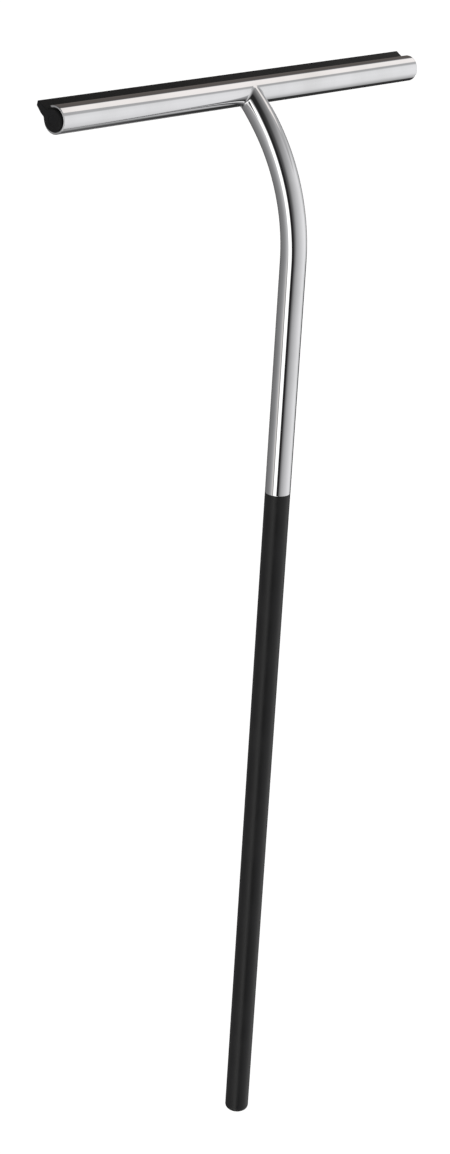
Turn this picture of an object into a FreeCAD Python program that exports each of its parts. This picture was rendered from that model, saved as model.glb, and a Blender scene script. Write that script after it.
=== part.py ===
"""Window cleaning squeegee: a slotted head tube holding a silicone wiper blade, on a bent tube handle.

Frame, in millimetres: the origin is the middle of the head tube, on its axis.
+X runs along the head, +Y points to the side that the blade wipes, and +Z is up.
The handle leaves the head down and towards -Y, bends once and then hangs straight down.
"""
import FreeCAD, Part

import math
import os

import Sketcher
from FreeCAD import Placement, Rotation, Vector

X_AXIS = Vector(1, 0, 0)
Z_AXIS = Vector(0, 0, 1)
# Millimetres; a circle has this radius only until its formula drives it.
START_RADIUS = 6.0

# Driving dimensions: alias, value in millimetres or degrees, what it is.
DIMENSIONS = [
    ("tube_diameter", 12.0, "outside of the head tube, the neck tube and the grip"),
    ("tube_wall", 1.0, "wall of every metal tube"),
    ("head_length", 240.0, "head tube, end to end"),
    ("rim_radius", 0.3, "rounding of the head tube's end rims"),
    ("slot_width", 5.5, "slot along the head tube, between its parallel walls"),
    ("blade_angle", 37.5, "direction of the slot and the lip, degrees above +Y"),
    ("blade_overhang", 1.2, "blade standing out of each end of the head tube"),
    ("bead_clearance", 0.1, "radial gap round the blade's bead"),
    ("bead_bore_radius", 2.0, "bore through the bead"),
    ("bead_edge_radius", 0.8, "rounding of the bead's end edges"),
    ("lip_back_at_root", 1.0, "upper face of the lip where it leaves the bead"),
    ("lip_back_at_tip", 0.56, "upper face of the lip at its tip"),
    ("lip_belly_at_root", 2.45, "lower face of the lip through the slot"),
    ("lip_belly_length", 6.3, "where the lower face starts to taper"),
    ("lip_heel_length", 9.96, "lower corner of the tip, along the lip"),
    ("lip_heel_drop", 1.70, "lower corner of the tip, below the lip's mid plane"),
    ("lip_length", 10.95, "upper corner of the tip, from the tube's axis"),
    ("lip_corner_radius", 0.5, "rounding of the tip's two corners"),
    ("plug_length", 8.0, "silicone plug in each end of the bead's bore"),
    ("neck_lean", 50.5, "neck at the head, degrees away from straight down"),
    ("bend_radius", 91.0, "centreline radius of the bend"),
    ("grip_top", 180.5, "head axis down to the top of the grip"),
    ("handle_bottom", 525.3, "head axis down to the handle's lower end"),
    ("neck_plug_radius", 4.8, "plug soldered into the neck's saddle end"),
    ("neck_plug_middle", 9.0, "head axis to that plug's middle, along the neck"),
    ("neck_plug_length", 9.5, "that plug before its end is cut to the saddle"),
    ("core_overlap", 30.0, "core tube held inside the neck tube"),
    ("end_flange", 3.0, "rounded foot of the end plug"),
    ("end_flange_radius", 2.0, "rounding of that foot"),
    ("end_stem", 16.0, "stem of the end plug inside the core tube"),
]

doc = FreeCAD.newDocument("squeegee")
sheet = doc.addObject("Spreadsheet::Sheet", "dimensions")
for row, (alias, value, note) in enumerate(DIMENSIONS, start=1):
    sheet.set("A%d" % row, alias)
    sheet.set("B%d" % row, str(value))
    sheet.set("C%d" % row, note)
    sheet.setAlias("B%d" % row, alias)
doc.recompute()

SIZE = {alias: value for alias, value, note in DIMENSIONS}


def driven(formula):
    """The formula with every alias written as a cell of the dimensions sheet."""
    for alias in sorted(SIZE, key=len, reverse=True):
        formula = formula.replace("@" + alias, "dimensions." + alias)
    return formula


def bind(thing, **formulas):
    """Bind properties of an object to formulas of the sheet's aliases."""
    for path, formula in formulas.items():
        thing.setExpression(path.replace("__", "."), driven(formula))


def new_body(label):
    body = doc.addObject("PartDesign::Body", label)
    body.Label = label
    return body


def new_sketch(body, name, role, turn_axis=Z_AXIS, turn=None, base=None):
    """An empty sketch on an origin plane, turned and moved within it by formulas."""
    plane = [item for item in body.Origin.OriginFeatures if item.Role == role][0]
    sketch = body.newObject("Sketcher::SketchObject", name)
    sketch.AttachmentSupport = [(plane, "")]
    sketch.MapMode = "FlatFace"
    if turn:
        sketch.AttachmentOffset = Placement(Vector(), Rotation(turn_axis, 1.0))
        sketch.setExpression("AttachmentOffset.Rotation.Angle", driven(turn))
    for letter, formula in (base or {}).items():
        sketch.setExpression("AttachmentOffset.Base." + letter, driven(formula))
    return sketch


def driven_constraint(sketch, name, constraint, formula):
    index = sketch.addConstraint(constraint)
    sketch.renameConstraint(index, name)
    sketch.setExpression("Constraints." + name, driven(formula))


def add_circle(sketch, name, formula, radius=START_RADIUS):
    """A circle on the sketch's origin with a driven radius; radius is only its size before that."""
    circle = sketch.addGeometry(Part.Circle(Vector(), Z_AXIS, radius))
    sketch.addConstraint(Sketcher.Constraint("Coincident", circle, 3, -1, 1))
    driven_constraint(sketch, name, Sketcher.Constraint("Radius", circle, radius), formula)


def place_point(sketch, name, edge, end, point, across, up):
    """Hold one end of an edge at two driven distances from the sketch's origin."""
    sides = (("X", "across", point.x, across), ("Y", "up", point.y, up))
    for letter, word, value, formula in sides:
        constraint = Sketcher.Constraint("Distance" + letter, -1, 1, edge, end, value)
        driven_constraint(sketch, name + "_" + word, constraint, formula)


def pad_both_ways(body, name, sketch, formula):
    pad = body.newObject("PartDesign::Pad", name)
    pad.Profile = sketch
    pad.Midplane = True
    pad.setExpression("Length", driven(formula))
    body.Tip = pad
    doc.recompute()
    return pad


def cut_both_ways(body, name, sketch, formula):
    """Pocket a sketch out of the body to both sides of its plane."""
    before = body.Shape.Volume
    pocket = body.newObject("PartDesign::Pocket", name)
    pocket.Profile = sketch
    pocket.Midplane = True
    pocket.setExpression("Length", driven(formula))
    body.Tip = pocket
    doc.recompute()
    if body.Shape.Volume >= before:
        raise RuntimeError(name + " cut nothing away")
    return pocket


def round_edges(body, name, formula, wanted):
    """Round those edges of the body's last feature that the wanted test picks."""
    tip = body.Tip
    picked = [
        "Edge%d" % number
        for number, edge in enumerate(tip.Shape.Edges, start=1)
        if wanted(edge)
    ]
    if not picked:
        raise RuntimeError(name + " found no edge")
    fillet = body.newObject("PartDesign::Fillet", name)
    fillet.Base = (tip, picked)
    fillet.setExpression("Radius", driven(formula))
    body.Tip = fillet
    doc.recompute()


def upright_tube(label, outer, inner, top, bottom):
    """A straight tube of the handle, between two depths below the head's axis."""
    body = new_body(label)
    sketch = new_sketch(body, label + "_section", "XY_Plane", base={"z": "-(" + bottom + ")"})
    add_circle(sketch, "outer", outer)
    add_circle(sketch, "inner", inner)
    pad = body.newObject("PartDesign::Pad", label + "_pad")
    pad.Profile = sketch
    pad.setExpression("Length", driven("(" + bottom + ") - (" + top + ")"))
    body.Tip = pad
    body.setExpression("Placement.Base.y", HANDLE_OFFSET)
    doc.recompute()
    return body


OUTER = "@tube_diameter / 2"
INNER = "@tube_diameter / 2 - @tube_wall"
BEAD = "@tube_diameter / 2 - @tube_wall - @bead_clearance"
CORE_INNER = "@tube_diameter / 2 - 2 * @tube_wall"
SLEEVE_BOTTOM = "@handle_bottom - @end_flange"
BEND_SHIFT = "@bend_radius * (1 - cos(@neck_lean * 1 deg))"
HANDLE_OFFSET = driven("-(" + BEND_SHIFT + ")")
PLUG_LEAN = "(@neck_lean - @neck_plug_middle / @bend_radius * 180 / pi)"


def make_head_tube():
    """Chrome-plated tube, slotted end to end on the side away from the neck."""
    body = new_body("head_tube")
    ring = new_sketch(body, "head_section", "YZ_Plane")
    add_circle(ring, "outer", OUTER)
    add_circle(ring, "inner", INNER)
    pad_both_ways(body, "head_pad", ring, "@head_length")

    slot = new_sketch(body, "slot_section", "YZ_Plane", turn="@blade_angle")
    reach = SIZE["tube_diameter"]
    half = SIZE["slot_width"] / 2
    corners = [Vector(0, -half), Vector(reach, -half), Vector(reach, half), Vector(0, half)]
    for start, end in zip(corners, corners[1:] + corners[:1]):
        slot.addGeometry(Part.LineSegment(start, end))
    for edge in range(4):
        slot.addConstraint(Sketcher.Constraint("Coincident", edge, 2, (edge + 1) % 4, 1))
    slot.addConstraint(Sketcher.Constraint("Horizontal", 0))
    slot.addConstraint(Sketcher.Constraint("Vertical", 1))
    slot.addConstraint(Sketcher.Constraint("Horizontal", 2))
    slot.addConstraint(Sketcher.Constraint("PointOnObject", 3, 1, -2))
    slot.addConstraint(Sketcher.Constraint("Symmetric", 3, 1, 3, 2, -1))
    reach_of_slot = Sketcher.Constraint("DistanceX", 0, 1, 0, 2, reach)
    driven_constraint(slot, "reach", reach_of_slot, "@tube_diameter")
    width_of_slot = Sketcher.Constraint("DistanceY", 1, 1, 1, 2, 2 * half)
    driven_constraint(slot, "width", width_of_slot, "@slot_width")
    cut_both_ways(body, "slot_cut", slot, "@head_length + 2")

    def outer_rim(edge):
        on_end = abs(abs(edge.CenterOfMass.x) - SIZE["head_length"] / 2) < 0.01
        arc = isinstance(edge.Curve, Part.Circle)
        return on_end and arc and edge.Curve.Radius > SIZE["tube_diameter"] / 2 - 0.01

    round_edges(body, "rim_rounding", "@rim_radius", outer_rim)
    return body


def make_wiper_blade():
    """Silicone extrusion: a round hollow bead with a stout tapered lip out through the slot."""
    body = new_body("wiper_blade")
    outline = new_sketch(body, "blade_section", "YZ_Plane", turn="@blade_angle")
    radius = SIZE["tube_diameter"] / 2 - SIZE["tube_wall"] - SIZE["bead_clearance"]
    back = SIZE["lip_back_at_root"]
    belly = SIZE["lip_belly_at_root"]
    back_root = Vector(math.sqrt(radius ** 2 - back ** 2), back)
    belly_root = Vector(math.sqrt(radius ** 2 - belly ** 2), -belly)
    toe = Vector(SIZE["lip_length"], SIZE["lip_back_at_tip"])
    heel = Vector(SIZE["lip_heel_length"], -SIZE["lip_heel_drop"])
    waist = Vector(SIZE["lip_belly_length"], -belly)
    start = math.atan2(back_root.y, back_root.x)
    end = 2 * math.pi + math.atan2(belly_root.y, belly_root.x)

    bead = outline.addGeometry(Part.ArcOfCircle(Part.Circle(Vector(), Z_AXIS, radius), start, end))
    corners = [belly_root, waist, heel, toe, back_root]
    lines = [
        outline.addGeometry(Part.LineSegment(first, second))
        for first, second in zip(corners, corners[1:])
    ]
    outline.addConstraint(Sketcher.Constraint("Coincident", bead, 3, -1, 1))
    chain = [(bead, 2, lines[0], 1)]
    chain += [(first, 2, second, 1) for first, second in zip(lines, lines[1:])]
    chain.append((lines[-1], 2, bead, 1))
    for joint in chain:
        outline.addConstraint(Sketcher.Constraint("Coincident", *joint))
    driven_constraint(outline, "bead", Sketcher.Constraint("Radius", bead, radius), BEAD)
    back_height = Sketcher.Constraint("DistanceY", -1, 1, bead, 1, back)
    driven_constraint(outline, "back", back_height, "@lip_back_at_root")
    belly_height = Sketcher.Constraint("DistanceY", bead, 2, -1, 1, belly)
    driven_constraint(outline, "belly", belly_height, "@lip_belly_at_root")
    place_point(outline, "waist", lines[0], 2, waist, "@lip_belly_length", "-@lip_belly_at_root")
    place_point(outline, "heel", lines[1], 2, heel, "@lip_heel_length", "-@lip_heel_drop")
    place_point(outline, "toe", lines[2], 2, toe, "@lip_length", "@lip_back_at_tip")
    add_circle(outline, "bore", "@bead_bore_radius", SIZE["bead_bore_radius"])
    pad_both_ways(body, "blade_pad", outline, "@head_length + 2 * @blade_overhang")

    lip_end = 0.85 * SIZE["lip_length"]

    def tip_corner(edge):
        along = edge.BoundBox.XLength > SIZE["head_length"]
        centre = edge.CenterOfMass
        return along and math.hypot(centre.y, centre.z) > lip_end

    def bead_end(edge):
        arc = isinstance(edge.Curve, Part.Circle)
        return arc and edge.Curve.Radius > radius - 0.01 and edge.BoundBox.XLength < 0.01

    round_edges(body, "tip_rounding", "@lip_corner_radius", tip_corner)
    round_edges(body, "bead_rounding", "@bead_edge_radius", bead_end)
    return body


def make_bead_plug(label, side):
    """Short silicone plug that closes one end of the bead's bore."""
    plug = doc.addObject("Part::Cylinder", label)
    plug.Label = label
    plug.Placement = Placement(Vector(), Rotation(Z_AXIS, X_AXIS * side))
    bind(plug, Radius="@bead_bore_radius", Height="@plug_length")
    inner_end = "(@head_length / 2 + @blade_overhang - @plug_length)"
    plug.setExpression("Placement.Base.x", driven(("" if side > 0 else "-") + inner_end))
    return plug


def make_neck_tube():
    """Chrome-plated tube: one bend, its upper end cut to a saddle that sits on the head tube."""
    body = new_body("neck_tube")
    route = new_sketch(body, "neck_route", "YZ_Plane")
    lean = math.radians(SIZE["neck_lean"])
    radius = SIZE["bend_radius"]
    low = Vector(-radius * (1 - math.cos(lean)), -SIZE["grip_top"])
    bend_end = Vector(low.x, -radius * math.sin(lean))
    centre = Vector(bend_end.x + radius, bend_end.y)
    circle = Part.Circle(centre, Z_AXIS, radius)
    straight = route.addGeometry(Part.LineSegment(low, bend_end))
    bend = route.addGeometry(Part.ArcOfCircle(circle, math.pi - lean, math.pi))
    route.addConstraint(Sketcher.Constraint("Tangent", straight, 2, bend, 2))
    route.addConstraint(Sketcher.Constraint("Coincident", bend, 1, -1, 1))
    route.addConstraint(Sketcher.Constraint("Vertical", straight))
    driven_constraint(route, "radius", Sketcher.Constraint("Radius", bend, radius), "@bend_radius")
    drop = Sketcher.Constraint("DistanceY", straight, 1, -1, 1, -low.y)
    driven_constraint(route, "drop", drop, "@grip_top")
    shift = Sketcher.Constraint("DistanceX", straight, 1, -1, 1, -low.x)
    driven_constraint(route, "shift", shift, BEND_SHIFT)

    low_end = {"y": "-(" + BEND_SHIFT + ")", "z": "-@grip_top"}
    ring = new_sketch(body, "neck_section", "XY_Plane", base=low_end)
    add_circle(ring, "outer", OUTER)
    add_circle(ring, "inner", INNER)
    pipe = body.newObject("PartDesign::AdditivePipe", "neck_pipe")
    pipe.Profile = ring
    pipe.Spine = route
    body.Tip = pipe
    doc.recompute()

    saddle = new_sketch(body, "saddle_section", "YZ_Plane")
    add_circle(saddle, "saddle", OUTER)
    cut_both_ways(body, "saddle_cut", saddle, "2 * @tube_diameter")
    return body


def make_neck_plug():
    """Turned brass plug inside the neck's saddle end, which gives the soldered joint its area."""
    bar = doc.addObject("Part::Cylinder", "neck_plug_bar")
    bar.Placement = Placement(Vector(), Rotation(X_AXIS, 180 - SIZE["neck_lean"]))
    bind(bar, Radius="@neck_plug_radius", Height="@neck_plug_length")
    bar.setExpression("Placement.Rotation.Angle", driven("180 - " + PLUG_LEAN))
    half = "@neck_plug_length / 2"
    along = "@bend_radius * (cos(@neck_lean * 1 deg) - cos(%s * 1 deg))" % PLUG_LEAN
    up = "@bend_radius * (sin(%s * 1 deg) - sin(@neck_lean * 1 deg))" % PLUG_LEAN
    start_along = "%s + %s * sin(%s * 1 deg)" % (along, half, PLUG_LEAN)
    start_up = "%s + %s * cos(%s * 1 deg)" % (up, half, PLUG_LEAN)
    bar.setExpression("Placement.Base.y", driven(start_along))
    bar.setExpression("Placement.Base.z", driven(start_up))
    saddle = doc.addObject("Part::Cylinder", "neck_plug_saddle")
    saddle.Placement = Placement(Vector(-2 * SIZE["tube_diameter"], 0, 0), Rotation(Z_AXIS, X_AXIS))
    bind(saddle, Radius=OUTER, Height="4 * @tube_diameter")
    plug = doc.addObject("Part::Cut", "neck_plug")
    plug.Base = bar
    plug.Tool = saddle
    plug.Label = "neck_plug"
    return plug


def make_end_plug():
    """Black plug that closes the core tube, with a rounded foot as wide as the grip."""
    body = new_body("end_plug")
    foot = new_sketch(body, "foot_section", "XY_Plane", base={"z": "-@handle_bottom"})
    add_circle(foot, "foot", OUTER)
    pad = body.newObject("PartDesign::Pad", "foot_pad")
    pad.Profile = foot
    pad.setExpression("Length", driven("@end_flange"))
    body.Tip = pad
    doc.recompute()
    stem = new_sketch(body, "stem_section", "XY_Plane", base={"z": "-(" + SLEEVE_BOTTOM + ")"})
    add_circle(stem, "stem", CORE_INNER)
    rise = body.newObject("PartDesign::Pad", "stem_pad")
    rise.Profile = stem
    rise.setExpression("Length", driven("@end_stem"))
    body.Tip = rise
    doc.recompute()

    def foot_rim(edge):
        return abs(edge.CenterOfMass.z + SIZE["handle_bottom"]) < 0.01 and len(edge.Vertexes) == 1

    round_edges(body, "foot_rounding", "@end_flange_radius", foot_rim)
    body.setExpression("Placement.Base.y", HANDLE_OFFSET)
    return body


pieces = [
    make_head_tube(),
    make_wiper_blade(),
    make_bead_plug("bead_plug_left", -1),
    make_bead_plug("bead_plug_right", 1),
    make_neck_tube(),
    make_neck_plug(),
    upright_tube("core_tube", INNER, CORE_INNER, "@grip_top - @core_overlap", SLEEVE_BOTTOM),
    upright_tube("grip_sleeve", OUTER, INNER, "@grip_top", SLEEVE_BOTTOM),
    make_end_plug(),
]
doc.recompute()

for item in doc.Objects:
    if "Invalid" in item.State or "Error" in item.State:
        raise RuntimeError(item.Label + " failed: " + ", ".join(item.State))
for piece in pieces:
    if piece.Shape.isNull() or not piece.Shape.isValid() or len(piece.Shape.Solids) != 1:
        raise RuntimeError(piece.Label + " is not one valid solid")

os.makedirs("parts", exist_ok=True)
for piece in pieces:
    piece.Shape.exportStep("parts/" + piece.Label + ".step")
    box = piece.Shape.BoundBox
    print("%-16s %9.1f mm3  x %7.2f..%7.2f  y %7.2f..%7.2f  z %8.2f..%8.2f" % (
        piece.Label, piece.Shape.Volume, box.XMin, box.XMax, box.YMin, box.YMax, box.ZMin, box.ZMax))
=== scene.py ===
"""Looks of the window cleaning squeegee: chrome tubes, silicone blade and grip, and a studio stage."""
import math

import bmesh
import bpy
from bpy.props import FloatProperty, FloatVectorProperty, PointerProperty, StringProperty
from mathutils import Matrix, Vector


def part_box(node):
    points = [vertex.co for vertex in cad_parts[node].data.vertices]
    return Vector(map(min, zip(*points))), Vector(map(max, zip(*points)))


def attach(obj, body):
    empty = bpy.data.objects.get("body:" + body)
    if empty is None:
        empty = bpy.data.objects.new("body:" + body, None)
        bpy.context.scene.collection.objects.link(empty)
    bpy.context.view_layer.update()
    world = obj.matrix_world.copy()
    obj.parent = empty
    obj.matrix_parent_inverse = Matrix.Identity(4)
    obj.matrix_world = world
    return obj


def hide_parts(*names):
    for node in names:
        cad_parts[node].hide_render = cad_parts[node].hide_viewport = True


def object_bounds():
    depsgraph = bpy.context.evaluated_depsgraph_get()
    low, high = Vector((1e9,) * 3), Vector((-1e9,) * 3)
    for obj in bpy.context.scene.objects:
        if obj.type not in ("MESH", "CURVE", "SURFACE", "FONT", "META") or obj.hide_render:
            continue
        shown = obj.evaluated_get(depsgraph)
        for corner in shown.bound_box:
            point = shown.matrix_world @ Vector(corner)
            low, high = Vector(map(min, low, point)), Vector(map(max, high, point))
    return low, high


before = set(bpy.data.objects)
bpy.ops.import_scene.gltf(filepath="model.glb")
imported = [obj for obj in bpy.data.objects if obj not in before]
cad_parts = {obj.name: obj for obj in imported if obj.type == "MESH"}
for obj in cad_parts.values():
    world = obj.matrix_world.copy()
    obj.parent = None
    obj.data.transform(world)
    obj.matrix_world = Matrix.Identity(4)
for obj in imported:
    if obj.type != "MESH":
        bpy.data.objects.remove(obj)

bl_info = {
    "name": "Window Squeegee",
    "version": (1, 0, 0),
    "blender": (4, 5, 0),
    "location": "3D View > Sidebar > Squeegee",
    "description": "Builds the tubes, blade, grip and stage of a window cleaning squeegee",
    "category": "Object",
}

MM = 0.001
CAD_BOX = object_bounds()
HEAD_LOW, HEAD_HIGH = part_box("head_tube")
BLADE_LOW, BLADE_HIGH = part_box("wiper_blade")
NECK_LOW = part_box("neck_tube")[0]
GRIP_LOW, GRIP_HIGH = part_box("grip_sleeve")
CORE_LOW, CORE_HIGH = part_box("core_tube")
FOOT_LOW, FOOT_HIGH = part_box("end_plug")
PLUG_LOW, PLUG_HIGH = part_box("bead_plug_left")

TUBE_RADIUS = (HEAD_HIGH.z - HEAD_LOW.z) / 2
TUBE_BORE = (CORE_HIGH.x - CORE_LOW.x) / 2
GRIP_RADIUS = (GRIP_HIGH.x - GRIP_LOW.x) / 2
BEAD_RADIUS = -BLADE_LOW.z
BORE_RADIUS = (PLUG_HIGH.z - PLUG_LOW.z) / 2
PLUG_LENGTH = PLUG_HIGH.x - PLUG_LOW.x
HANDLE_Y = (GRIP_LOW.y + GRIP_HIGH.y) / 2
# Along the neck, the place past which its saddle end has no more effect on its shape.
NECK_CLEAR = 3 * TUBE_RADIUS

# Sides of the round meshes: a tube, the bead of the blade and a plug in its bore.
AROUND = 128
BEAD_SIDES = 96
PLUG_SIDES = 48
# A ring this far inside each rounded edge keeps the smooth shading of the edge off the long surface.
EDGE_LOOP = 0.15 * MM
# Sides of the bead's arc over which its end rounding fades into the lip's.
BEAD_FADE = 7
# The blade's cut end has one ring inside its outline and one on its side past the rounding, at these
# shares of the outline and of the rounding.
END_RING = 0.75
SIDE_RING = 1.2
# How far the weld's edge sinks under the head's surface, so that the two meet without a gap.
WELD_SINK = 0.01 * MM
# Dome of a plug's outer end, and the width of the edge round it.
PLUG_DOME = 0.06 * MM
PLUG_EDGE = 0.15 * MM
# Broken edge of the foot's shoulder and stem.
FOOT_EDGE = 0.12 * MM
FLOOR_HALF = 30.0

X_AXIS = Vector((1, 0, 0))
Z_AXIS = Vector((0, 0, 1))


# ---------------------------------------------------------------- settings

class SqueegeeHeadSettings(bpy.types.PropertyGroup):
    slot_width: FloatProperty(
        name="Slot width", description="Gap between the slot's parallel walls",
        default=5.5 * MM, unit="LENGTH")
    blade_angle: FloatProperty(
        name="Blade angle", description="Direction of the slot and the lip above the +Y axis",
        default=math.radians(37.5), subtype="ANGLE")
    rim_radius: FloatProperty(
        name="Rim rounding", description="Rounding of the tube's end rims",
        default=0.3 * MM, unit="LENGTH")
    slot_edge: FloatProperty(
        name="Slot edge", description="Width of the broken edge along the slot",
        default=0.12 * MM, unit="LENGTH")


class SqueegeeBladeSettings(bpy.types.PropertyGroup):
    back_at_root: FloatProperty(
        name="Back at root", description="Upper face of the lip where it leaves the bead",
        default=1.0 * MM, unit="LENGTH")
    back_at_tip: FloatProperty(
        name="Back at tip", description="Upper face of the lip at its tip",
        default=0.56 * MM, unit="LENGTH")
    belly: FloatProperty(
        name="Belly", description="Lower face of the lip through the slot",
        default=2.45 * MM, unit="LENGTH")
    belly_length: FloatProperty(
        name="Belly length", description="Where the lower face starts to taper",
        default=6.3 * MM, unit="LENGTH")
    heel_length: FloatProperty(
        name="Heel length", description="Lower corner of the tip, along the lip",
        default=9.96 * MM, unit="LENGTH")
    heel_drop: FloatProperty(
        name="Heel drop", description="Lower corner of the tip, below the lip's mid plane",
        default=1.70 * MM, unit="LENGTH")
    lip_length: FloatProperty(
        name="Lip length", description="Upper corner of the tip from the tube's axis",
        default=10.95 * MM, unit="LENGTH")
    corner_radius: FloatProperty(
        name="Corner rounding", description="Rounding of the tip's two corners",
        default=0.5 * MM, unit="LENGTH")
    bead_edge: FloatProperty(
        name="Bead edge", description="Rounding of the bead's end edges",
        default=0.8 * MM, unit="LENGTH")
    lip_edge: FloatProperty(
        name="Lip edge", description="Rounding of the lip's end edges",
        default=0.15 * MM, unit="LENGTH")
    lip_corner: FloatProperty(
        name="Lip corner", description="Rounding of the wiping edge's two end corners, seen from above",
        default=0.3 * MM, unit="LENGTH")


class SqueegeeHandleSettings(bpy.types.PropertyGroup):
    neck_lean: FloatProperty(
        name="Neck lean", description="Neck at the head, away from straight down",
        default=math.radians(50.5), subtype="ANGLE")
    neck_waist: FloatProperty(
        name="Neck waist", description="How much the neck is drawn in all round where it meets the head",
        default=0.3 * MM, unit="LENGTH")
    weld_leg: FloatProperty(
        name="Weld leg", description="How far the polished weld runs out onto the head and the neck",
        default=1.0 * MM, unit="LENGTH")
    neck_edge: FloatProperty(
        name="Neck edge", description="Rounding of the neck's lower edge, at the grip",
        default=0.14 * MM, unit="LENGTH")
    sleeve_edge: FloatProperty(
        name="Sleeve edge", description="Rounding of the grip sleeve's end edges",
        default=0.25 * MM, unit="LENGTH")
    foot_radius: FloatProperty(
        name="Foot rounding", description="Rounding of the end plug's foot",
        default=2.0 * MM, unit="LENGTH")


class SqueegeeFinishSettings(bpy.types.PropertyGroup):
    chrome: StringProperty(
        name="Chrome", description="Bright chromium plate, sRGB hex", default="#CBCBCD")
    chrome_haze: StringProperty(
        name="Chrome haze", description="Faint handling film on the plate, sRGB hex", default="#C2C2C3")
    silicone: StringProperty(
        name="Silicone", description="Carbon-black silicone, sRGB hex", default="#161617")
    silicone_bloom: StringProperty(
        name="Silicone bloom", description="Dust and bloom on the silicone, sRGB hex", default="#1E1E1F")
    nylon: StringProperty(
        name="Nylon", description="Black moulded nylon, sRGB hex", default="#141415")
    brass: StringProperty(
        name="Brass", description="Freshly turned brass, sRGB hex", default="#D9B36C")
    steel: StringProperty(
        name="Steel", description="Drawn stainless steel, sRGB hex", default="#B4B3B0")


class SqueegeeStageSettings(bpy.types.PropertyGroup):
    aim: FloatVectorProperty(
        name="Aim", description="Point the camera looks at",
        default=(4.98 * MM, 0.0, -235.03 * MM), unit="LENGTH")
    distance: FloatProperty(
        name="Distance", description="Camera to that point", default=1064.2 * MM, unit="LENGTH")
    azimuth: FloatProperty(
        name="Azimuth", description="Camera round the object, from -Y towards -X",
        default=math.radians(50.14), subtype="ANGLE")
    elevation: FloatProperty(
        name="Elevation", description="Camera above the point it looks at",
        default=math.radians(22.31), subtype="ANGLE")
    roll: FloatProperty(
        name="Roll", description="Camera turned about its own line of sight",
        default=math.radians(3.34), subtype="ANGLE")
    lens: FloatProperty(name="Lens", description="Focal length in millimetres", default=68.15)
    floor_gap: FloatProperty(
        name="Floor gap", description="Floor below the hanging squeegee", default=220 * MM, unit="LENGTH")
    light: FloatProperty(name="Light", description="Brightness of the studio tent", default=1.4)


# ---------------------------------------------------------------- colours and nodes

def linear(hex_colour):
    """An sRGB hex colour as linear RGBA."""
    channels = [int(hex_colour[i:i + 2], 16) / 255 for i in (1, 3, 5)]
    return [c / 12.92 if c <= 0.04045 else ((c + 0.055) / 1.055) ** 2.4 for c in channels] + [1.0]


def node(tree, kind, inputs=None, **settings):
    """Add a node, set its properties, and fill its inputs with values or other nodes' sockets."""
    made = tree.nodes.new(kind)
    for name, value in settings.items():
        setattr(made, name, value)
    for key, value in (inputs or {}).items():
        if isinstance(value, bpy.types.NodeSocket):
            tree.links.new(value, made.inputs[key])
        else:
            made.inputs[key].default_value = value
    return made


def ramp(tree, factor, stops, interpolation="LINEAR"):
    """A colour ramp through (place, brightness) stops."""
    made = node(tree, "ShaderNodeValToRGB", {"Fac": factor})
    made.color_ramp.interpolation = interpolation
    elements = made.color_ramp.elements
    while len(elements) < len(stops):
        elements.new(0.5)
    for element, (place, shade) in zip(elements, stops):
        element.position = place
        element.color = (shade, shade, shade, 1.0)
    return made.outputs["Color"]


def new_material(name):
    """A material with one Principled shader, returned with its tree, its shader and object coordinates."""
    made = bpy.data.materials.new(name)
    made.use_nodes = True
    tree = made.node_tree
    shader = tree.nodes["Principled BSDF"]
    coords = node(tree, "ShaderNodeTexCoord").outputs["Object"]
    return made, tree, shader, coords


def stretched_noise(tree, coords, scale, detail=3.0):
    """Noise whose features are scale features per metre along each axis."""
    placed = node(tree, "ShaderNodeMapping", {"Vector": coords, "Scale": scale}).outputs["Vector"]
    noise = node(tree, "ShaderNodeTexNoise", {"Vector": placed, "Scale": 1.0, "Detail": detail})
    return noise.outputs["Fac"]


def uneven_roughness(tree, shader, pattern, pattern_range, roughness_range):
    """Let a pattern vary the shader's roughness between two values."""
    spread = {"Value": pattern}
    spread["From Min"], spread["From Max"] = pattern_range
    spread["To Min"], spread["To Max"] = roughness_range
    tree.links.new(node(tree, "ShaderNodeMapRange", spread).outputs["Result"], shader.inputs["Roughness"])


def chrome_plate(name, along):
    """Chromium plate over buffed brass: a mirror with a trace of buffing lines and handling haze.

    along is the direction of the tube, so the buffing lines run round it.
    """
    finish = bpy.context.scene.squeegee_finish
    made, tree, shader, coords = new_material(name)
    haze = stretched_noise(tree, coords, (38.0, 38.0, 38.0), 4.0)
    haze_amount = ramp(tree, haze, [(0.45, 0.0), (0.75, 1.0)])
    colour = node(
        tree, "ShaderNodeMix",
        {0: haze_amount, 6: linear(finish.chrome), 7: linear(finish.chrome_haze)},
        data_type="RGBA")
    tree.links.new(colour.outputs[2], shader.inputs["Base Color"])
    shader.inputs["Metallic"].default_value = 1.0
    # Buffing lines 0.25 mm apart round the tube, drawn coarser than the real 0.02 mm so that they show.
    across = [4000.0 if side else 60.0 for side in along]
    buffing = stretched_noise(tree, coords, across, 2.0)
    uneven_roughness(tree, shader, haze, (0.3, 0.8), (0.018, 0.04))
    lines = node(tree, "ShaderNodeBump", {"Height": buffing, "Strength": 0.02, "Distance": 0.02 * MM})
    # Long shallow waves that hand buffing leaves in thin plate, some 12 mm from crest to crest.
    waves = stretched_noise(tree, coords, (80.0, 80.0, 80.0), 0.0)
    plate = node(
        tree, "ShaderNodeBump",
        {"Height": waves, "Strength": 0.08, "Distance": 0.05 * MM, "Normal": lines.outputs["Normal"]})
    tree.links.new(plate.outputs["Normal"], shader.inputs["Normal"])
    return made


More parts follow.
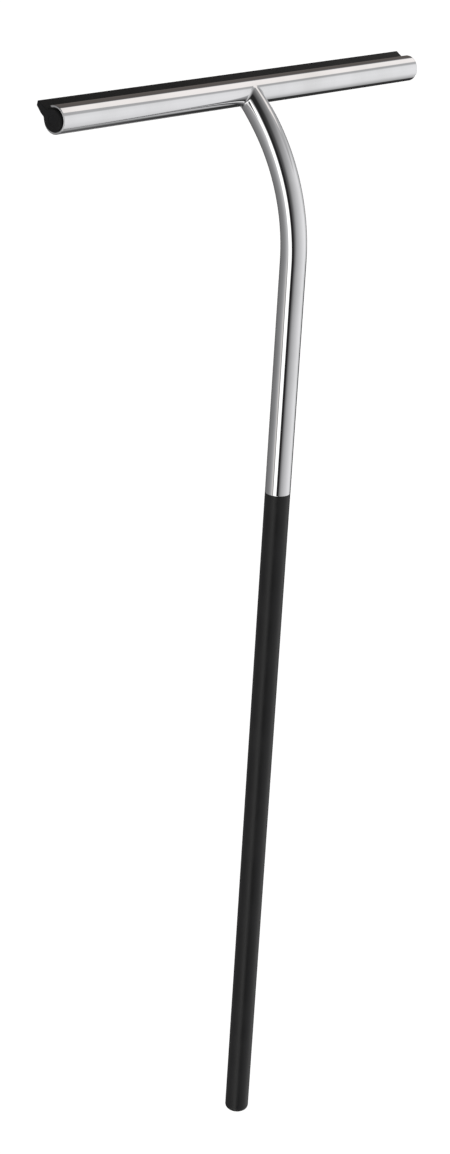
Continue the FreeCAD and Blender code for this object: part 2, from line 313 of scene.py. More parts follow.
def black_silicone(name, along, roughness, gloss, skin):
    """Extruded silicone rubber: soft satin black, with faint die lines that run with the extrusion.

    gloss is the specular level, and skin is the height of its fine skin texture, in metres.
    """
    finish = bpy.context.scene.squeegee_finish
    made, tree, shader, coords = new_material(name)
    bloom = stretched_noise(tree, coords, (55.0, 55.0, 55.0), 5.0)
    bloom_amount = ramp(tree, bloom, [(0.4, 0.0), (0.8, 1.0)])
    colour = node(
        tree, "ShaderNodeMix",
        {0: bloom_amount, 6: linear(finish.silicone), 7: linear(finish.silicone_bloom)},
        data_type="RGBA")
    tree.links.new(colour.outputs[2], shader.inputs["Base Color"])
    shader.inputs["IOR"].default_value = 1.43
    shader.inputs["Specular IOR Level"].default_value = gloss
    uneven_roughness(tree, shader, bloom, (0.3, 0.8), (roughness - 0.05, roughness + 0.07))
    # Die lines 0.4 mm apart, and a skin grain of 0.15 mm.
    die = stretched_noise(tree, coords, [8.0 if side else 2500.0 for side in along], 2.0)
    die_lines = node(tree, "ShaderNodeBump", {"Height": die, "Strength": 0.25, "Distance": 0.02 * MM})
    grain = stretched_noise(tree, coords, (6600.0, 6600.0, 6600.0), 2.0)
    skin_bump = node(
        tree, "ShaderNodeBump",
        {"Height": grain, "Strength": 0.5, "Distance": skin, "Normal": die_lines.outputs["Normal"]})
    tree.links.new(skin_bump.outputs["Normal"], shader.inputs["Normal"])
    return made


def moulded_nylon(name):
    """Injection-moulded nylon: black, a little smoother than the silicone, with a spark-eroded grain."""
    finish = bpy.context.scene.squeegee_finish
    made, tree, shader, coords = new_material(name)
    tone = stretched_noise(tree, coords, (140.0, 140.0, 140.0), 3.0)
    shade = ramp(tree, tone, [(0.3, 0.85), (0.7, 1.15)])
    colour = node(
        tree, "ShaderNodeMix", {0: 1.0, 6: linear(finish.nylon), 7: shade},
        data_type="RGBA", blend_type="MULTIPLY")
    tree.links.new(colour.outputs[2], shader.inputs["Base Color"])
    shader.inputs["IOR"].default_value = 1.53
    shader.inputs["Specular IOR Level"].default_value = 0.3
    uneven_roughness(tree, shader, tone, (0.3, 0.7), (0.4, 0.48))
    # Mould grain of 0.2 mm.
    grain = stretched_noise(tree, coords, (5000.0, 5000.0, 5000.0), 2.0)
    bump = node(tree, "ShaderNodeBump", {"Height": grain, "Strength": 0.4, "Distance": 0.02 * MM})
    tree.links.new(bump.outputs["Normal"], shader.inputs["Normal"])
    return made


def worked_metal(name, hex_colour, roughness, scale):
    """Bare metal with tool or die marks: turned brass or drawn steel, by the marks' scale per metre."""
    made, tree, shader, coords = new_material(name)
    marks = stretched_noise(tree, coords, scale, 3.0)
    shade = ramp(tree, marks, [(0.25, 0.8), (0.75, 1.0)])
    colour = node(
        tree, "ShaderNodeMix", {0: 1.0, 6: linear(hex_colour), 7: shade},
        data_type="RGBA", blend_type="MULTIPLY")
    tree.links.new(colour.outputs[2], shader.inputs["Base Color"])
    shader.inputs["Metallic"].default_value = 1.0
    uneven_roughness(tree, shader, marks, (0.2, 0.8), (roughness, roughness + 0.15))
    bump = node(tree, "ShaderNodeBump", {"Height": marks, "Strength": 0.3, "Distance": 0.02 * MM})
    tree.links.new(bump.outputs["Normal"], shader.inputs["Normal"])
    return made


# ---------------------------------------------------------------- meshes

def mesh_object(name, points, faces, material, sharp_angle=30.0):
    """A new object from points and faces, smooth apart from its sharp edges."""
    mesh = bpy.data.meshes.new(name)
    mesh.from_pydata([tuple(p) for p in points], [], faces)
    shell = bmesh.new()
    shell.from_mesh(mesh)
    bmesh.ops.recalc_face_normals(shell, faces=shell.faces)
    shell.to_mesh(mesh)
    shell.free()
    mesh.polygons.foreach_set("use_smooth", [True] * len(mesh.polygons))
    mesh.set_sharp_from_angle(angle=math.radians(sharp_angle))
    mesh.materials.append(material)
    made = bpy.data.objects.new(name, mesh)
    bpy.context.scene.collection.objects.link(made)
    return made


def ring_faces(ring_count, ring_size, closed=False):
    """Quads between rings of points, each ring a loop. closed also joins the last ring to the first."""
    faces = []
    for ring in range(ring_count if closed else ring_count - 1):
        here = ring * ring_size
        there = ((ring + 1) % ring_count) * ring_size
        for i in range(ring_size):
            j = (i + 1) % ring_size
            faces.append((here + i, here + j, there + j, there + i))
    return faces


def quarter_round(radius, steps=5):
    """(inset, setback) pairs of a quarter round, from the end face to the full section."""
    turns = [math.pi / 2 * i / steps for i in range(steps + 1)]
    return [(radius * (1 - math.sin(t)), radius * (1 - math.cos(t))) for t in turns]


def revolve(name, outline, y, material, capped=False, sharp_angle=30.0):
    """An outline of (radius, height) points turned about the handle's upright axis at y.

    A capped outline starts and ends on a flat face; any other closes on itself, as a tube's does.
    """
    points = []
    for radius, height in outline:
        for i in range(AROUND):
            turn = 2 * math.pi * i / AROUND
            points.append(Vector((radius * math.cos(turn), y + radius * math.sin(turn), height)))
    faces = ring_faces(len(outline), AROUND, closed=not capped)
    if capped:
        faces += [range(AROUND), range(len(points) - AROUND, len(points))]
    return mesh_object(name, points, faces, material, sharp_angle)


def tube_outline(outer, inner, low, high, low_edge, high_edge, divisions):
    """Outline of an upright tube with rounded outer edges and a run of divisions up its side."""
    outline = [(inner, low)]
    outline += [(outer - inset, low + setback) for inset, setback in quarter_round(low_edge)]
    bottom, top = low + low_edge + EDGE_LOOP, high - high_edge - EDGE_LOOP
    outline += [(outer, bottom + (top - bottom) * i / divisions) for i in range(divisions + 1)]
    outline += [(outer - inset, high - setback) for inset, setback in reversed(quarter_round(high_edge))]
    outline.append((inner, high))
    outline += [(inner, high + (low - high) * i / divisions) for i in range(1, divisions)]
    return outline


def head_section(settings, inset):
    """Outer and inner halves of the slotted section in the slot's own plane, pulled in by inset."""
    half_slot = settings.slot_width / 2 + inset
    broken = settings.slot_edge
    halves = []
    for radius, sign in ((TUBE_RADIUS - inset, 1), (TUBE_BORE + inset * 0.5, -1)):
        start = math.asin(half_slot / radius)
        on_wall = math.sqrt(radius ** 2 - half_slot ** 2) - sign * broken
        first = start + broken / radius
        arc = [first + (2 * math.pi - 2 * first) * i / AROUND for i in range(AROUND + 1)]
        points = [(on_wall, half_slot)]
        points += [(radius * math.cos(a), radius * math.sin(a)) for a in arc]
        points.append((on_wall, -half_slot))
        halves.append(points)
    return halves


def slot_plane(point, x, angle):
    """A point of the slot's plane, along and across the lip, as a place in the frame."""
    along, across = point
    y = along * math.cos(angle) - across * math.sin(angle)
    z = along * math.sin(angle) + across * math.cos(angle)
    return Vector((x, y, z))


def make_head(material):
    """The slotted head tube, with rounded end rims and broken slot edges."""
    settings = bpy.context.scene.squeegee_head
    half = HEAD_HIGH.x
    rims = quarter_round(settings.rim_radius)
    divisions = 48
    stations = [(-half + setback, inset) for inset, setback in rims]
    inner_run = half - settings.rim_radius - EDGE_LOOP
    stations += [(-inner_run + 2 * inner_run * i / divisions, 0.0) for i in range(divisions + 1)]
    stations += [(half - setback, inset) for inset, setback in reversed(rims)]
    points = []
    for x, inset in stations:
        outer, inner = head_section(settings, inset)
        loop = outer + inner[::-1]
        points += [slot_plane(p, x, settings.blade_angle) for p in loop]
    size = len(outer)
    loop_size = 2 * size
    faces = ring_faces(len(stations), loop_size)
    for base, flip in ((0, False), ((len(stations) - 1) * loop_size, True)):
        for i in range(size - 1):
            quad = (base + i, base + loop_size - 1 - i, base + loop_size - 2 - i, base + i + 1)
            faces.append(quad[::-1] if flip else quad)
    return mesh_object("head_tube_shell", points, faces, material)


def rounded_corner(before, corner, after, radius, steps=6):
    """Points of an arc of the given radius that rounds the corner between two straight sides."""
    to_before = (Vector(before) - Vector(corner)).normalized()
    to_after = (Vector(after) - Vector(corner)).normalized()
    half_angle = to_before.angle(to_after) / 2
    centre = Vector(corner) + (to_before + to_after).normalized() * (radius / math.sin(half_angle))
    start = Vector(corner) + to_before * (radius / math.tan(half_angle)) - centre
    end = Vector(corner) + to_after * (radius / math.tan(half_angle)) - centre
    turned = start.angle_signed(end)
    return [
        tuple(centre + Matrix.Rotation(-turned * i / steps, 2) @ start)
        for i in range(steps + 1)
    ]


def straight_run(first, last, count):
    """Evenly spaced points between first and last, without either end."""
    first, last = Vector(first), Vector(last)
    return [tuple(first.lerp(last, i / count)) for i in range(1, count)]


def blade_section(settings):
    """The blade's outline in the slot's plane, with the edge rounding that each point takes."""
    back_root = (math.sqrt(BEAD_RADIUS ** 2 - settings.back_at_root ** 2), settings.back_at_root)
    belly_root = (math.sqrt(BEAD_RADIUS ** 2 - settings.belly ** 2), -settings.belly)
    toe = (settings.lip_length, settings.back_at_tip)
    heel = (settings.heel_length, -settings.heel_drop)
    waist = (settings.belly_length, -settings.belly)
    toe_arc = rounded_corner(heel, toe, back_root, settings.corner_radius)
    heel_arc = rounded_corner(waist, heel, toe, settings.corner_radius)
    lip = [belly_root]
    lip += straight_run(belly_root, waist, 4) + [waist] + straight_run(waist, heel_arc[0], 8)
    lip += heel_arc + straight_run(heel_arc[-1], toe_arc[0], 5) + toe_arc
    lip += straight_run(toe_arc[-1], back_root, 12)
    start = math.atan2(back_root[1], back_root[0])
    end = 2 * math.pi + math.atan2(belly_root[1], belly_root[0])
    arc = [start + (end - start) * i / BEAD_SIDES for i in range(BEAD_SIDES)]
    bead = [(BEAD_RADIUS * math.cos(a), BEAD_RADIUS * math.sin(a)) for a in arc]
    fades = [min(i, BEAD_SIDES - i, BEAD_FADE) / BEAD_FADE for i in range(BEAD_SIDES)]
    edges = [settings.lip_edge] * len(lip)
    edges += [settings.lip_edge + (settings.bead_edge - settings.lip_edge) * fade for fade in fades]
    return lip + bead, edges


def inward_normals(outline):
    """Unit normals into a closed outline that runs anticlockwise."""
    normals = []
    for i, point in enumerate(outline):
        along = Vector(outline[(i + 1) % len(outline)]) - Vector(outline[i - 1])
        normals.append(Vector((-along.y, along.x)).normalized())
    return normals


def corner_setback(along, lip_length, radius):
    """How far the blade's end pulls in at a place along the lip, to round the wiping edge's end corner."""
    into = along - (lip_length - radius)
    return radius - math.sqrt(max(radius ** 2 - into ** 2, 0.0)) if into > 0 else 0.0


def make_blade(material):
    """The extrusion: bead, bore and lip in one closed mesh, with its cut ends softened."""
    settings = bpy.context.scene.squeegee_blade
    angle = bpy.context.scene.squeegee_head.blade_angle
    outline, edges = blade_section(settings)
    normals = inward_normals(outline)
    corners = [corner_setback(point[0], settings.lip_length, settings.lip_corner) for point in outline]
    half = BLADE_HIGH.x
    divisions = 60
    rounding = [(share, back, 1.0) for share, back in quarter_round(1.0)] + [(0.0, SIDE_RING, 1.0)]
    run = half - settings.lip_corner - 2 * settings.bead_edge
    stations = [(-half, share, back, corner) for share, back, corner in rounding]
    stations += [(-run + 2 * run * i / divisions, 0.0, 0.0, 0.0) for i in range(divisions + 1)]
    stations += [(half, share, back, corner) for share, back, corner in reversed(rounding)]
    points = []
    for x, share, back, corner in stations:
        for point, edge, normal, pulled in zip(outline, edges, normals, corners):
            place = Vector(point) + normal * (edge * share)
            points.append(slot_plane(place, x - math.copysign(edge * back + pulled * corner, x), angle))
    size = len(outline)
    faces = ring_faces(len(stations), size)
    middle = len(points)
    for x in (-half, half):
        for point in outline:
            turn = math.atan2(point[1], point[0])
            bore = (BORE_RADIUS * math.cos(turn), BORE_RADIUS * math.sin(turn))
            points.append(slot_plane(bore, x, angle))
    # A ring between the bore and the edge keeps the end face flat out to the lip's rounded corner.
    between = len(points)
    for x in (-half, half):
        points += [slot_plane(Vector(point) * END_RING, x, angle) for point in outline]
    last = (len(stations) - 1) * size
    for i in range(size):
        j = (i + 1) % size
        left = [middle + i, middle + j, between + j, between + i]
        right = [place + size for place in left]
        faces.append(left)
        faces.append((between + i, between + j, j, i))
        faces.append(right[::-1])
        faces.append((last + i, last + j, between + size + j, between + size + i))
        faces.append((middle + size + i, middle + size + j, middle + j, middle + i))
    return mesh_object("wiper_blade_extrusion", points, faces, material)


def make_bead_plug(name, side, material):
    """A short plug in the bead's bore, its outer end lightly domed."""
    outer = side * BLADE_HIGH.x
    inner = outer - side * PLUG_LENGTH
    dome = (0.25, 0.5, 0.75, 0.97)
    rings = [(BORE_RADIUS * share, outer - side * PLUG_DOME * share ** 2) for share in dome]
    rings += [(BORE_RADIUS, outer - side * PLUG_EDGE), (BORE_RADIUS, inner), (BORE_RADIUS * 0.5, inner)]
    points = []
    for radius, x in rings:
        for i in range(PLUG_SIDES):
            turn = side * 2 * math.pi * i / PLUG_SIDES
            points.append(Vector((x, radius * math.cos(turn), radius * math.sin(turn))))
    faces = ring_faces(len(rings), PLUG_SIDES)
    faces += [range(PLUG_SIDES), range(len(points) - PLUG_SIDES, len(points))]
    return mesh_object(name, points, faces, material)


def neck_frame(distance, lean, radius):
    """The neck's centreline at a distance along it from the head's axis: a point, and the way outward."""
    bend_length = radius * lean
    if distance <= bend_length:
        angle = lean - distance / radius
        y = radius * (math.cos(lean) - math.cos(angle))
        z = radius * (math.sin(angle) - math.sin(lean))
    else:
        angle = 0.0
        y = HANDLE_Y
        z = -radius * math.sin(lean) - (distance - bend_length)
    return Vector((0, y, z)), Vector((0, -math.cos(angle), math.sin(angle)))


def neck_point(distance, turn, tube, lean, radius):
    """A point of the neck: a distance along it, a turn round it and a tube radius out from its centre."""
    centre, outward = neck_frame(distance, lean, radius)
    return centre + tube * (math.cos(turn) * outward + math.sin(turn) * X_AXIS)


def outer_wall(distance):
    """Outer radius of the neck, drawn in smoothly towards the head."""
    share = min(distance / NECK_CLEAR, 1.0)
    waist = bpy.context.scene.squeegee_handle.neck_waist
    return TUBE_RADIUS - waist * (1 - share * share * (3 - 2 * share))


def bore_wall(distance):
    """Inner radius of the neck, the same all along."""
    return TUBE_BORE


def saddle_distance(turn, wall, lean, radius):
    """How far along the neck one of its walls meets the head's surface, by halving."""
    near, far = 0.0, NECK_CLEAR
    for _ in range(40):
        middle = (near + far) / 2
        point = neck_point(middle, turn, wall(middle), lean, radius)
        if math.hypot(point.y, point.z) < TUBE_RADIUS:
            near = middle
        else:
            far = middle
    return far


def weld_rows(seats, turns, leg, lean, radius, steps=8):
    """Rows of a polished weld: from the head's surface, through the seam's corner, onto the neck."""
    count = len(turns)
    seam = [neck_point(seat, turn, outer_wall(seat), lean, radius) for seat, turn in zip(seats, turns)]
    rows = [[] for _ in range(steps + 1)]
    for i, (corner, seat, turn) in enumerate(zip(seam, seats, turns)):
        run = (seam[(i + 1) % count] - seam[i - 1]).normalized()
        on_head = Vector((0, corner.y, corner.z)).normalized()
        away = run.cross(on_head).normalized()
        centre, outward = neck_frame(seat, lean, radius)
        root = outward * math.cos(turn) + X_AXIS * math.sin(turn)
        further = neck_frame(seat + leg, lean, radius)[0]
        if away.dot(root + (centre - further) / leg) < 0:
            away = -away
        foot = corner + away * leg
        round_head = Vector((0, foot.y, foot.z)).normalized() * (TUBE_RADIUS - WELD_SINK)
        foot = Vector((foot.x, round_head.y, round_head.z))
        top = neck_point(seat + leg, turn, outer_wall(seat + leg), lean, radius)
        for step, row in enumerate(rows):
            share = step / steps
            row.append(foot * (1 - share) ** 2 + corner * 2 * share * (1 - share) + top * share ** 2)
    return rows


def make_neck(material):
    """The bent neck tube: welded on the head, one bend, then straight down to the grip."""
    settings = bpy.context.scene.squeegee_handle
    lean, leg, edge = settings.neck_lean, settings.weld_leg, settings.neck_edge
    radius = -HANDLE_Y / (1 - math.cos(lean))
    bend_end = radius * lean
    full = bend_end - radius * math.sin(lean) - NECK_LOW.z
    turns = [2 * math.pi * i / AROUND for i in range(AROUND)]
    saddle_steps, bend_steps, straight_steps = 12, 56, 20

    def run_down(wall, starts):
        """Rows from where each point starts, evened out by the clear place, round the bend and down."""
        rows = []
        for i in range(1, saddle_steps + 1):
            share = i / saddle_steps
            places = [start * (1 - share) + NECK_CLEAR * share for start in starts]
            rows.append([
                neck_point(place, turn, wall(place), lean, radius) for place, turn in zip(places, turns)])
        places = [NECK_CLEAR + (bend_end - NECK_CLEAR) * i / bend_steps for i in range(1, bend_steps + 1)]
        straight = full - edge - EDGE_LOOP - bend_end
        places += [bend_end + straight * i / straight_steps for i in range(1, straight_steps + 1)]
        rows += [[neck_point(place, turn, wall(place), lean, radius) for turn in turns] for place in places]
        return rows

    seats = [saddle_distance(turn, outer_wall, lean, radius) for turn in turns]
    bore_seats = [saddle_distance(turn, bore_wall, lean, radius) for turn in turns]
    rows = [[neck_point(seat, turn, TUBE_BORE, lean, radius) for seat, turn in zip(bore_seats, turns)]]
    rows += weld_rows(seats, turns, leg, lean, radius)
    rows += run_down(outer_wall, [seat + leg for seat in seats])
    for inset, setback in reversed(quarter_round(edge, 3)):
        rows.append([neck_point(full - setback, turn, TUBE_RADIUS - inset, lean, radius) for turn in turns])
    rows.append([neck_point(full, turn, TUBE_BORE, lean, radius) for turn in turns])
    rows += run_down(bore_wall, bore_seats)[::-1]
    points = [point for row in rows for point in row]
    return mesh_object("neck_tube_shell", points, ring_faces(len(rows), AROUND, closed=True), material)


def make_grip(material):
    """The silicone sleeve, flush with the chrome, its two ends cut and slightly softened."""
    edge = bpy.context.scene.squeegee_handle.sleeve_edge
    outline = tube_outline(GRIP_RADIUS, TUBE_BORE, GRIP_LOW.z, GRIP_HIGH.z, edge * 0.5, edge, 64)
    return revolve("grip_sleeve_silicone", outline, HANDLE_Y, material)


def make_foot(material):
    """The end plug: a rounded foot under the sleeve and a stem up inside the core tube."""
    rounding = bpy.context.scene.squeegee_handle.foot_radius
    radius = (FOOT_HIGH.x - FOOT_LOW.x) / 2
    stem = TUBE_BORE - (TUBE_RADIUS - TUBE_BORE)
    low, high, shoulder = FOOT_LOW.z, FOOT_HIGH.z, GRIP_LOW.z
    shoulder_edge = reversed(quarter_round(FOOT_EDGE, 3))
    outline = [(radius * share, low) for share in (0.2, 0.45)]
    outline += [(radius - inset, low + setback) for inset, setback in quarter_round(rounding, 10)]
    outline += [(radius - inset, shoulder - setback) for inset, setback in shoulder_edge]
    outline += [(stem, shoulder), (stem, high - FOOT_EDGE), (stem - FOOT_EDGE, high), (stem * 0.4, high)]
    return revolve("end_plug_foot", outline, HANDLE_Y, material, capped=True, sharp_angle=40.0)


# ---------------------------------------------------------------- stage

# The tent's wall: (degrees round from +X towards +Y, brightness).
WALL = [
    (-180, 0.60), (-165, 0.10), (-150, 0.05), (-133, 0.11), (-113, 0.42), (-90, 0.60), (-69, 0.73),
    (-49, 0.86), (-28, 0.93), (-10, 0.62), (8, 0.34), (25, 0.11), (45, 0.08), (90, 0.19),
    (131, 0.27), (150, 0.40), (165, 0.60), (180, 0.60)]

# How the wall fades up and down: (share of the way from straight down to straight up, brightness).
WALL_FADE = [(0.1, 0.4), (0.3, 0.8), (0.39, 0.95), (0.5, 1.0), (0.64, 0.92), (0.78, 0.42), (0.9, 0.2)]

# What stands in front of the wall: name, azimuth and half width, elevation and half height, all in degrees,
# lean in degrees of azimuth for each degree up, softness of the edges in degrees, brightness and tint.
# Each one covers those before it.
CARDS = [
    ("warm back wall", 38.0, 18.0, 24.0, 22.0, 0.0, 7.0, 0.11, "#FFF2EA"),
    ("pale far wall", 43.0, 10.0, -30.0, 15.0, 0.0, 3.0, 0.26, "#FFFFFF"),
    ("dark floor edge", 46.0, 11.0, -29.0, 15.0, 0.9, 2.5, 0.03, "#FFFFFF"),
    ("dark doorway", 14.0, 17.0, -21.0, 8.0, 0.0, 2.5, 0.03, "#FFFFFF"),
    ("left reflector", 158.0, 4.0, -32.0, 18.0, -0.45, 2.5, 0.68, "#FFFAF4"),
    ("strip light frame", 169.0, 5.0, -34.0, 20.0, -0.45, 1.5, 0.24, "#FFFFFF"),
    ("strip light", 184.5, 14.0, -20.0, 52.0, -0.45, 1.6, 1.45, "#FFFFFC"),
    ("black flag", 211.0, 8.5, 0.0, 60.0, -0.35, 4.0, 0.02, "#FFFFFF"),
    ("softbox frame", 343.0, 32.0, 34.0, 11.5, 0.0, 4.0, 0.46, "#FFFFFF"),
    ("side softbox", 351.5, 20.5, 39.2, 7.3, 0.0, 1.3, 1.02, "#FFFAF6"),
]


def card_cover(tree, value, centre, half, softness, wraps):
    """1 inside the card, 0 outside it, along one of its two directions."""
    off = node(tree, "ShaderNodeMath", {0: value, 1: centre}, operation="SUBTRACT").outputs[0]
    if wraps:
        off = node(tree, "ShaderNodeMath", {0: off, 1: 180.0, 2: -180.0}, operation="WRAP").outputs[0]
    off = node(tree, "ShaderNodeMath", {0: off}, operation="ABSOLUTE").outputs[0]
    fade = {"Value": off, "From Min": half + softness, "From Max": half - softness}
    return node(tree, "ShaderNodeMapRange", fade, interpolation_type="SMOOTHSTEP").outputs["Result"]


def studio_world(brightness):
    """A studio tent: a graded wall all round, with a strip light, a black flag and a side softbox."""
    world = bpy.data.worlds.new("studio_tent")
    world.use_nodes = True
    tree = world.node_tree
    tree.nodes.clear()
    direction = node(tree, "ShaderNodeTexCoord").outputs["Generated"]
    parts = node(tree, "ShaderNodeSeparateXYZ", {"Vector": direction})
    x, y, z = (parts.outputs[axis] for axis in "XYZ")
    turn = node(tree, "ShaderNodeMath", {0: y, 1: x}, operation="ARCTAN2").outputs[0]
    azimuth = node(tree, "ShaderNodeMath", {0: turn}, operation="DEGREES").outputs[0]
    tilt = node(tree, "ShaderNodeMath", {0: z}, operation="ARCSINE").outputs[0]
    elevation = node(tree, "ShaderNodeMath", {0: tilt}, operation="DEGREES").outputs[0]
    place = {"Value": azimuth, "From Min": -180.0, "From Max": 180.0}
    round_wall = node(tree, "ShaderNodeMapRange", place).outputs["Result"]
    wall = ramp(tree, round_wall, [((degrees + 180) / 360, shade) for degrees, shade in WALL])
    height = {"Value": elevation, "From Min": -90.0, "From Max": 90.0}
    up_wall = node(tree, "ShaderNodeMapRange", height).outputs["Result"]
    fade = ramp(tree, up_wall, WALL_FADE)
    faded = node(tree, "ShaderNodeMix", {0: 1.0, 6: wall, 7: fade}, data_type="RGBA", blend_type="MULTIPLY")
    shade = faded.outputs[2]
    for _, azimuth_at, half_width, elevation_at, half_height, lean, softness, light, tint in CARDS:
        upright = {0: elevation, 1: -lean, 2: azimuth}
        leant = node(tree, "ShaderNodeMath", upright, operation="MULTIPLY_ADD").outputs[0]
        across = card_cover(tree, leant, azimuth_at, half_width, softness, True)
        upward = card_cover(tree, elevation, elevation_at, half_height, softness, False)
        cover = node(tree, "ShaderNodeMath", {0: across, 1: upward}, operation="MULTIPLY").outputs[0]
        colour = [channel * light for channel in linear(tint)[:3]] + [1.0]
        shade = node(tree, "ShaderNodeMix", {0: cover, 6: shade, 7: colour}, data_type="RGBA").outputs[2]
    tent = node(tree, "ShaderNodeBackground", {"Color": shade, "Strength": brightness}).outputs[0]
    plain = node(tree, "ShaderNodeBackground", {"Color": (1.0, 1.0, 1.0, 1.0), "Strength": 1.0}).outputs[0]
    seen = node(tree, "ShaderNodeLightPath").outputs["Is Camera Ray"]
    mixed = node(tree, "ShaderNodeMixShader", {0: seen, 1: tent, 2: plain}).outputs[0]
    node(tree, "ShaderNodeOutputWorld", {"Surface": mixed})
    bpy.context.scene.world = world


def make_floor(gap):
    """A plain white floor, far enough below the hanging squeegee to take no hard shadow."""
    made = bpy.data.materials.new("matt_white_studio_floor")
    made.use_nodes = True
    tree = made.node_tree
    shader = tree.nodes["Principled BSDF"]
    shader.inputs["Base Color"].default_value = linear("#F4F4F4")
    shader.inputs["Roughness"].default_value = 0.9
    shader.inputs["Emission Color"].default_value = (1.0, 1.0, 1.0, 1.0)
    shader.inputs["Emission Strength"].default_value = 0.75
    height = CAD_BOX[0].z - gap
    signs = [(-1, -1), (1, -1), (1, 1), (-1, 1)]
    corners = [(across * FLOOR_HALF, along * FLOOR_HALF, height) for across, along in signs]
    floor = mesh_object("studio_floor", corners, [(0, 1, 2, 3)], made)
    floor.visible_glossy = False


def make_camera(settings):
    """The camera, aimed at a point from a distance, a direction and a roll."""
    azimuth, elevation, roll = settings.azimuth, settings.elevation, settings.roll
    back = Vector((
        -math.sin(azimuth) * math.cos(elevation),
        -math.cos(azimuth) * math.cos(elevation),
        math.sin(elevation)))
    level = (-back).cross(Z_AXIS).normalized()
    upright = level.cross(-back)
    right = math.cos(roll) * level + math.sin(roll) * upright
    up = math.cos(roll) * upright - math.sin(roll) * level
    data = bpy.data.cameras.new("studio_camera")
    data.lens = settings.lens
    data.clip_end = 100.0
    camera = bpy.data.objects.new("studio_camera", data)
    place = Vector(settings.aim) + back * settings.distance
    turn = Matrix((right, up, back)).transposed().to_4x4()
    camera.matrix_world = Matrix.Translation(place) @ turn
    bpy.context.scene.collection.objects.link(camera)
    bpy.context.scene.camera = camera


# ---------------------------------------------------------------- operators

def hand_over(piece, body, slot, *nodes):
    """Let a piece move with its body and stand for its CAD nodes, which it hides; slot is not used."""
    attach(piece, body)
    if nodes:
        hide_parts(*nodes)


class SQUEEGEE_OT_head(bpy.types.Operator):
    """Build the slotted chrome head tube"""
    bl_idname = "squeegee.make_head"
    bl_label = "Make Head Tube"

    def execute(self, context):
        plate = chrome_plate("bright_chrome_plate_on_head", (1, 0, 0))
        hand_over(make_head(plate), "handle", "chrome_plate", "head_tube")
        return {"FINISHED"}


class SQUEEGEE_OT_blade(bpy.types.Operator):
    """Build the silicone blade and the two plugs in its bore"""
    bl_idname = "squeegee.make_blade"
    bl_label = "Make Wiper Blade"

    def execute(self, context):
        rubber = black_silicone("extruded_black_silicone_blade", (1, 0, 0), 0.48, 0.16, 0.012 * MM)
        hand_over(make_blade(rubber), "blade", "black_silicone", "wiper_blade")
        for name, side in (("left", -1), ("right", 1)):
            plug = make_bead_plug("bead_plug_" + name + "_silicone", side, rubber)
            hand_over(plug, "blade", "black_silicone", "bead_plug_" + name)
        return {"FINISHED"}


class SQUEEGEE_OT_neck(bpy.types.Operator):
    """Build the bent chrome neck"""
    bl_idname = "squeegee.make_neck"
    bl_label = "Make Neck Tube"

    def execute(self, context):
        plate = chrome_plate("bright_chrome_plate_on_neck", (0, 0, 1))
        hand_over(make_neck(plate), "handle", "chrome_plate", "neck_tube")
        return {"FINISHED"}


class SQUEEGEE_OT_grip(bpy.types.Operator):
    """Build the silicone grip sleeve"""
    bl_idname = "squeegee.make_grip"
    bl_label = "Make Grip Sleeve"

    def execute(self, context):
        rubber = black_silicone("extruded_black_silicone_grip", (0, 0, 1), 0.40, 0.3, 0.015 * MM)
        hand_over(make_grip(rubber), "handle", "grip_silicone", "grip_sleeve")
        return {"FINISHED"}


class SQUEEGEE_OT_foot(bpy.types.Operator):
    """Build the rounded end plug"""
    bl_idname = "squeegee.make_foot"
    bl_label = "Make End Plug"

    def execute(self, context):
        hand_over(make_foot(moulded_nylon("moulded_black_nylon")), "handle", "black_nylon", "end_plug")
        return {"FINISHED"}


class SQUEEGEE_OT_inner_parts(bpy.types.Operator):
    """Give the brass neck plug and the steel core tube their finishes"""
    bl_idname = "squeegee.finish_inner_parts"
    bl_label = "Finish Inner Parts"

    def execute(self, context):
        finish = context.scene.squeegee_finish
        # Lathe rings 0.2 mm apart on the plug, drawing lines along the tube.
        brass = worked_metal("turned_brass", finish.brass, 0.22, (400.0, 400.0, 5000.0))
        steel = worked_metal("drawn_stainless_steel", finish.steel, 0.3, (3000.0, 3000.0, 12.0))
        for name, metal in (("neck_plug", brass), ("core_tube", steel)):
            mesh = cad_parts[name].data
            mesh.materials.clear()
            mesh.materials.append(metal)
        return {"FINISHED"}


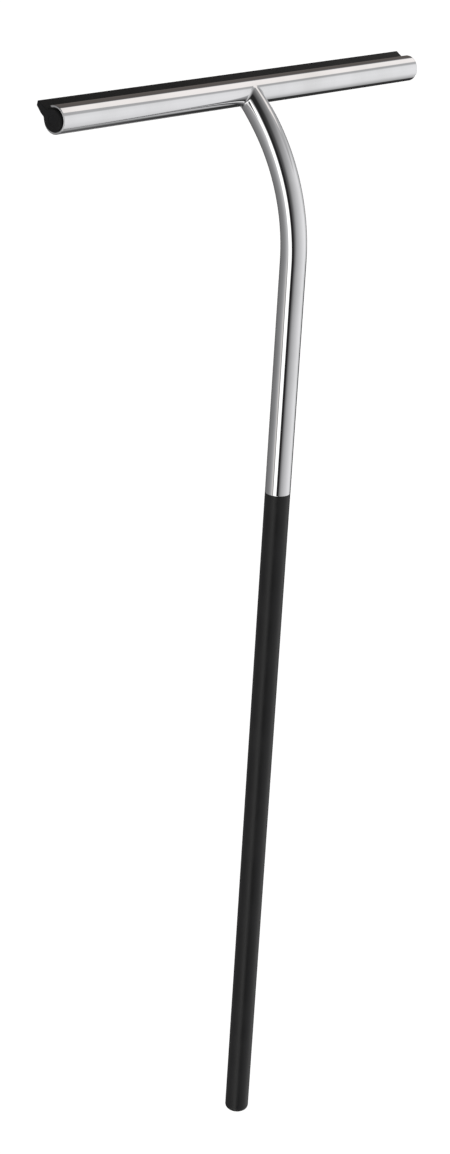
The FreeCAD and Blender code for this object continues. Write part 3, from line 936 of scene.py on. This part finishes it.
class SQUEEGEE_OT_stage(bpy.types.Operator):
    """Set the camera, the floor and the studio light"""
    bl_idname = "squeegee.set_stage"
    bl_label = "Set Stage"

    def execute(self, context):
        settings = context.scene.squeegee_stage
        make_camera(settings)
        make_floor(settings.floor_gap)
        studio_world(settings.light)
        context.scene.view_settings.view_transform = "Standard"
        return {"FINISHED"}


class SQUEEGEE_PT_panel(bpy.types.Panel):
    """Buttons and sizes of the squeegee"""
    bl_idname = "SQUEEGEE_PT_panel"
    bl_label = "Window Squeegee"
    bl_space_type = "VIEW_3D"
    bl_region_type = "UI"
    bl_category = "Squeegee"

    def draw(self, context):
        for operator, groups in STEPS:
            box = self.layout.box()
            box.operator(operator)
            for group in groups:
                settings = getattr(context.scene, group)
                for name in settings.__annotations__:
                    box.prop(settings, name)


STEPS = [
    ("squeegee.set_stage", ["squeegee_stage"]),
    ("squeegee.make_head", ["squeegee_head", "squeegee_finish"]),
    ("squeegee.make_blade", ["squeegee_blade"]),
    ("squeegee.make_neck", ["squeegee_handle"]),
    ("squeegee.make_grip", []),
    ("squeegee.make_foot", []),
    ("squeegee.finish_inner_parts", []),
]

SETTINGS = {
    "squeegee_head": SqueegeeHeadSettings,
    "squeegee_blade": SqueegeeBladeSettings,
    "squeegee_handle": SqueegeeHandleSettings,
    "squeegee_finish": SqueegeeFinishSettings,
    "squeegee_stage": SqueegeeStageSettings,
}

CLASSES = [
    SQUEEGEE_OT_stage,
    SQUEEGEE_OT_head,
    SQUEEGEE_OT_blade,
    SQUEEGEE_OT_neck,
    SQUEEGEE_OT_grip,
    SQUEEGEE_OT_foot,
    SQUEEGEE_OT_inner_parts,
    SQUEEGEE_PT_panel,
]


def register():
    """Register the settings, operators and panel."""
    for name, group in SETTINGS.items():
        bpy.utils.register_class(group)
        setattr(bpy.types.Scene, name, PointerProperty(type=group))
    for made in CLASSES:
        bpy.utils.register_class(made)


def unregister():
    """Take the settings, operators and panel out again."""
    for made in reversed(CLASSES):
        bpy.utils.unregister_class(made)
    for name, group in SETTINGS.items():
        delattr(bpy.types.Scene, name)
        bpy.utils.unregister_class(group)


def main():
    register()
    for operator, groups in STEPS:
        group_name, operator_name = operator.split(".")
        getattr(getattr(bpy.ops, group_name), operator_name)()


if __name__ == "__main__":
    main()
